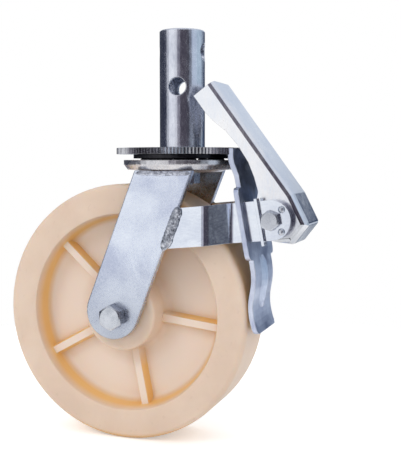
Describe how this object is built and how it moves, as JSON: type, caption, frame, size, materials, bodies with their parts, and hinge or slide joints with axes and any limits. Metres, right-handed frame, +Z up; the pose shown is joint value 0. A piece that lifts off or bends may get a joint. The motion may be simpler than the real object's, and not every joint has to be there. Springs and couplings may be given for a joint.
{
  "type": "scaffold castor",
  "caption": "Braked swivel castor for a scaffold tower: hollow plug-in stem, toothed ring, plate fork, solid nylon wheel and a foot-lever brake that holds both wheel and swivel.",
  "frame": {"origin": "on the stem's axis, at the top face of the toothed ring", "axes": "+Z up the stem, +X towards the brake, the axle and the lever's pivot along Y"},
  "size_m": [0.2442, 0.1047, 0.3172],
  "materials": {
    "zinc": "bright zinc plate",
    "dark_zinc": "grey zinc plate over a cut edge",
    "steel": "ground bright steel",
    "weld": "rough plated weld bead",
    "nylon": "ivory cast nylon, slightly glossy"
  },
  "bodies": {
    "stem": {"stem_tube": "zinc", "locking_ring": "dark_zinc", "upper_race": "dark_zinc", "kingpin": "zinc"},
    "fork": {"fork_crown": "zinc", "kingpin_washer": "zinc", "kingpin_nut": "zinc", "race_ball_01": "steel", "race_ball_02": "steel", "race_ball_03": "steel", "race_ball_04": "steel", "race_ball_05": "steel", "race_ball_06": "steel", "race_ball_07": "steel", "race_ball_08": "steel", "race_ball_09": "steel", "race_ball_10": "steel", "race_ball_11": "steel", "race_ball_12": "steel", "race_ball_13": "steel", "race_ball_14": "steel", "race_ball_15": "steel", "race_ball_16": "steel", "race_ball_17": "steel", "race_ball_18": "steel", "race_ball_19": "steel", "near_leg": "zinc", "far_leg": "zinc", "near_arm": "zinc", "far_arm": "zinc", "near_cheek": "zinc", "far_cheek": "zinc", "near_cheek_rivet_1": "zinc", "near_cheek_rivet_2": "zinc", "far_cheek_rivet_1": "zinc", "far_cheek_rivet_2": "zinc", "near_crown_weld": "weld", "far_crown_weld": "weld", "near_arm_weld": "weld", "far_arm_weld": "weld", "near_axle_washer": "zinc", "far_axle_washer": "zinc", "axle_bolt": "zinc", "axle_nut": "zinc", "axle_sleeve": "zinc", "pivot_bolt": "zinc", "pivot_nut": "zinc", "pivot_sleeve": "zinc"},
    "wheel": {"wheel": "nylon", "near_hub_bush": "steel", "far_hub_bush": "steel"},
    "blade": {"brake_blade": "zinc"},
    "lever": {"brake_lever": "zinc"}
  },
  "joints": [
    {"name": "swivel", "type": "hinge", "parent": "stem", "child": "fork", "pos_m": [0, 0, 0], "axis": [0, 0, 1], "continuous": true},
    {"name": "wheel_spin", "type": "hinge", "parent": "fork", "child": "wheel", "pos_m": [-0.0402, 0, -0.1276], "axis": [0, 1, 0], "continuous": true},
    {"name": "lever_swing", "type": "hinge", "parent": "fork", "child": "lever", "pos_m": [0.079, 0, -0.0526], "axis": [0, 1, 0], "range_deg": [0, 92]},
    {"name": "blade_press", "type": "slide", "parent": "fork", "child": "blade", "axis": [-0.9954, 0, -0.0958], "range_m": [0, 0.0013]}
  ],
  "couplings": [
    {"joint": "blade_press", "follows": "lever_swing", "m_per_rad": 0.000809}
  ]
}
